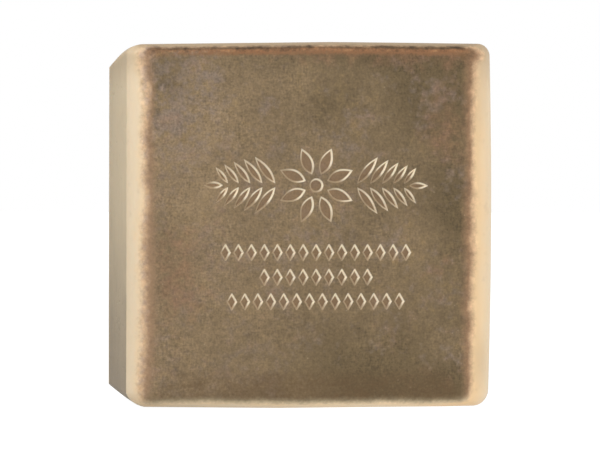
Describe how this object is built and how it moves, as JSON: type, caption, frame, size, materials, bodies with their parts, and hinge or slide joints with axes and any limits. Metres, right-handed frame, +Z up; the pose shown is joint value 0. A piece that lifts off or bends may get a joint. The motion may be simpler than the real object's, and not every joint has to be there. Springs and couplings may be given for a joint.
{
  "type": "cheddar block",
  "caption": "Square block of cheddar with a brown rind on its broad faces, soft pale edges and a floral design pressed into the front.",
  "frame": {"origin": "middle of the footprint, on the surface that the block stands on", "axes": "+Z up, +X to the right as the pressed face is seen, and the pressed face looks along -Y"},
  "size_m": [0.09, 0.046, 0.088],
  "materials": {
    "rind": "matte"
  },
  "bodies": {
    "root": {"cheddar_block": "rind"}
  },
  "joints": []
}
